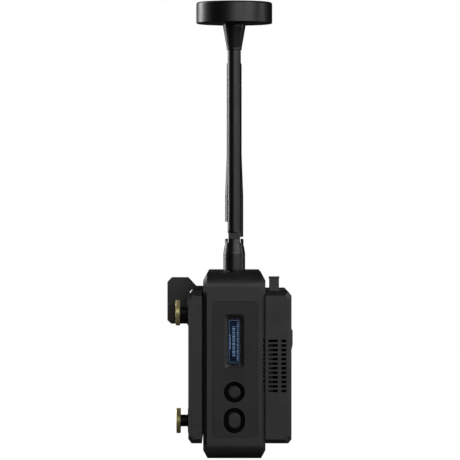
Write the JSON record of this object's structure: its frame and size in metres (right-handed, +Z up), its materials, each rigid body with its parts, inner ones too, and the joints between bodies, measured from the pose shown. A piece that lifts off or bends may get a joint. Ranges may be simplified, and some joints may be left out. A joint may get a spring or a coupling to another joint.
{
  "type": "wireless video receiver",
  "caption": "Slim black wireless video receiver with a row of folding antennas, a display end, a three-stud plate and a keyhole battery plate.",
  "frame": {"origin": "middle of the housing's flat bottom face", "axes": "+Z up along the antennas, -Y out of the display end, -X out of the stud plate, +X out of the battery plate"},
  "size_m": [0.0625, 0.1551, 0.2246],
  "materials": {
    "anodised_black": "satin black anodised aluminium, fine bead-blast grain",
    "plate_black": "satin black moulded plastic",
    "panel_black": "smooth matte black overlay",
    "key_rubber": "matte black silicone rubber",
    "display_glass": "clear glossy window, dark tint",
    "display_blue": "dark blue display",
    "antenna_black": "satin black moulded plastic",
    "brass": "turned brass, lightly polished",
    "steel": "nickel-plated steel",
    "circuit_green": "green solder mask",
    "tin": "plain metal",
    "fan_black": "black moulded plastic"
  },
  "bodies": {
    "housing": {"main_housing": "anodised_black", "front_cap": "anodised_black", "rear_cap": "anodised_black", "front_panel": "panel_black", "display_window": "display_glass", "display_module": "display_blue", "button_board": "circuit_green", "main_board": "circuit_green", "rf_board": "circuit_green", "shield_can": "tin", "heatsink": "tin", "fan_frame": "fan_black", "sdi_connector_1": "steel", "sdi_connector_2": "steel", "hdmi_connector": "steel", "usb_connector": "steel", "power_inlet": "steel", "tripod_insert": "steel", "latch_guide": "steel", "release_spring": "steel", "antenna_connector_1": "steel", "antenna_connector_2": "steel", "antenna_connector_3": "steel", "antenna_connector_4": "steel", "antenna_connector_5": "steel", "stud_plate": "plate_black", "terminal_block": "plate_black", "battery_plate": "plate_black", "mount_stud_1": "brass", "mount_stud_2": "brass", "mount_stud_3": "brass", "terminal_socket_1": "brass", "terminal_socket_2": "brass", "power_pin_1": "brass", "power_pin_2": "brass"},
    "select_key": {"select_button": "key_rubber"},
    "menu_key": {"menu_button": "key_rubber"},
    "release": {"release_button": "plate_black", "latch_slider": "steel"},
    "latch": {"latch_bolt": "steel"},
    "fan": {"fan_rotor": "fan_black"},
    "switch": {"power_switch": "plate_black"},
    "base_1": {"antenna_base_1": "antenna_black", "hinge_pin_1": "steel"},
    "antenna_1": {"disc_mast": "antenna_black", "disc_radome": "antenna_black", "disc_element": "circuit_green"},
    "base_2": {"antenna_base_2": "antenna_black", "hinge_pin_2": "steel"},
    "antenna_2": {"whip_2": "antenna_black"},
    "base_3": {"antenna_base_3": "antenna_black", "hinge_pin_3": "steel"},
    "antenna_3": {"whip_3": "antenna_black"},
    "base_4": {"antenna_base_4": "antenna_black", "hinge_pin_4": "steel"},
    "antenna_4": {"whip_4": "antenna_black"},
    "base_5": {"antenna_base_5": "antenna_black", "hinge_pin_5": "steel"},
    "antenna_5": {"whip_5": "antenna_black"}
  },
  "joints": [
    {"name": "select_press", "type": "slide", "parent": "housing", "child": "select_key", "axis": [0, 1, 0], "range_m": [0, 0.001], "stiffness_N_per_m": 900},
    {"name": "menu_press", "type": "slide", "parent": "housing", "child": "menu_key", "axis": [0, 1, 0], "range_m": [0, 0.001], "stiffness_N_per_m": 900},
    {"name": "release_press", "type": "slide", "parent": "housing", "child": "release", "axis": [0, 0, -1], "range_m": [0, 0.0035], "stiffness_N_per_m": 900, "springref_m": -0.001, "deforming": ["release_spring"]},
    {"name": "latch_retract", "type": "slide", "parent": "housing", "child": "latch", "axis": [-1, 0, 0], "range_m": [0, 0.0042]},
    {"name": "fan_spin", "type": "hinge", "parent": "housing", "child": "fan", "pos_m": [0.0085, -0.024, 0.046], "axis": [1, 0, 0], "continuous": true},
    {"name": "power_slide", "type": "slide", "parent": "housing", "child": "switch", "axis": [0, 0, 1], "range_m": [0, 0.0038]},
    {"name": "antenna_1_swivel", "type": "hinge", "parent": "housing", "child": "base_1", "pos_m": [0, -0.056, 0.0952], "axis": [0, 0, 1], "continuous": true},
    {"name": "antenna_1_fold", "type": "hinge", "parent": "base_1", "child": "antenna_1", "pos_m": [0, -0.056, 0.105], "axis": [-1, 0, 0], "range_deg": [-90, 0]},
    {"name": "antenna_2_swivel", "type": "hinge", "parent": "housing", "child": "base_2", "pos_m": [0, -0.028, 0.0952], "axis": [0, 0, 1], "continuous": true},
    {"name": "antenna_2_fold", "type": "hinge", "parent": "base_2", "child": "antenna_2", "pos_m": [0, -0.028, 0.105], "axis": [0, -1, 0], "range_deg": [0, 90]},
    {"name": "antenna_3_swivel", "type": "hinge", "parent": "housing", "child": "base_3", "pos_m": [0, 0, 0.0952], "axis": [0, 0, 1], "continuous": true},
    {"name": "antenna_3_fold", "type": "hinge", "parent": "base_3", "child": "antenna_3", "pos_m": [0, 0, 0.105], "axis": [0, -1, 0], "range_deg": [0, 90]},
    {"name": "antenna_4_swivel", "type": "hinge", "parent": "housing", "child": "base_4", "pos_m": [0, 0.028, 0.0952], "axis": [0, 0, 1], "continuous": true},
    {"name": "antenna_4_fold", "type": "hinge", "parent": "base_4", "child": "antenna_4", "pos_m": [0, 0.028, 0.105], "axis": [0, -1, 0], "range_deg": [0, 90]},
    {"name": "antenna_5_swivel", "type": "hinge", "parent": "housing", "child": "base_5", "pos_m": [0, 0.056, 0.0952], "axis": [0, 0, 1], "continuous": true},
    {"name": "antenna_5_fold", "type": "hinge", "parent": "base_5", "child": "antenna_5", "pos_m": [0, 0.056, 0.105], "axis": [0, -1, 0], "range_deg": [0, 90]}
  ],
  "couplings": [
    {"joint": "latch_retract", "follows": "release_press", "ratio": 1.2}
  ]
}
